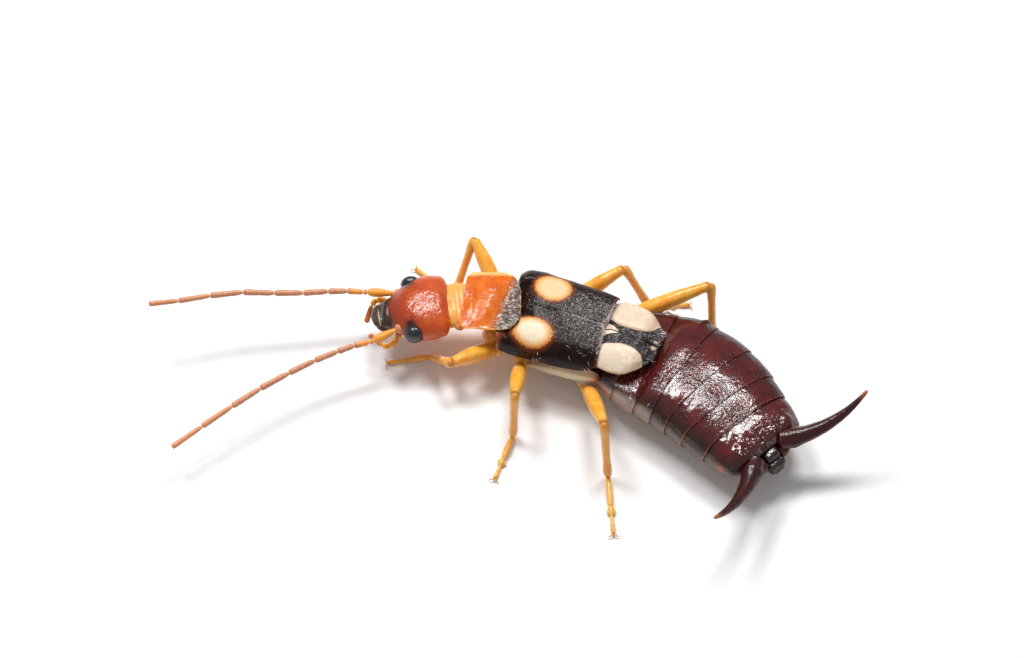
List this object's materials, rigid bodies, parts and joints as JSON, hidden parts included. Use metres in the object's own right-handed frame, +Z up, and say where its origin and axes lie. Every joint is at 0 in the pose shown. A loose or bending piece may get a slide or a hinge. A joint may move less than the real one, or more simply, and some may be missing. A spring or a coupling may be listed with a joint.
{
  "type": "earwig",
  "caption": "Life-size male earwig with pale spots on dark wing cases, amber legs and wide-open forceps, standing on the floor with the body bent to the left.",
  "frame": {"origin": "middle of the model's box, at the floor that the feet stand on", "axes": "+Z up, +Y towards the forceps, +X towards the insect's left"},
  "size_m": [0.012, 0.023, 0.003],
  "materials": {
    "head_shell": "glossy red-brown shell, darker towards the mouth",
    "eye": "slate-black with fine facets",
    "feeler": "satin brown with fine short hairs",
    "shield": "glossy orange-red, clear at the rims",
    "trunk": "satin pale brown",
    "wing_case": "satin brown-black with a round buff spot on each",
    "wing_tip": "leathery cream with dark rims",
    "abdomen_shell": "glossy dark maroon with fine pits",
    "forceps": "smooth dark maroon",
    "leg": "satin amber, brown at the knees"
  },
  "bodies": {
    "root": {"head": "head_shell", "eye_left": "eye", "eye_right": "eye", "antenna_left": "feeler", "antenna_right": "feeler", "prothorax": "shield", "thorax": "trunk", "wing_case_left": "wing_case", "wing_case_right": "wing_case", "wing_tip_left": "wing_tip", "wing_tip_right": "wing_tip", "abdomen": "abdomen_shell", "last_plate": "abdomen_shell", "end_plate": "abdomen_shell", "forceps_left": "forceps", "forceps_right": "forceps", "leg_front_left": "leg", "leg_front_right": "leg", "leg_middle_left": "leg", "leg_middle_right": "leg", "leg_hind_left": "leg", "leg_hind_right": "leg"}
  },
  "joints": []
}
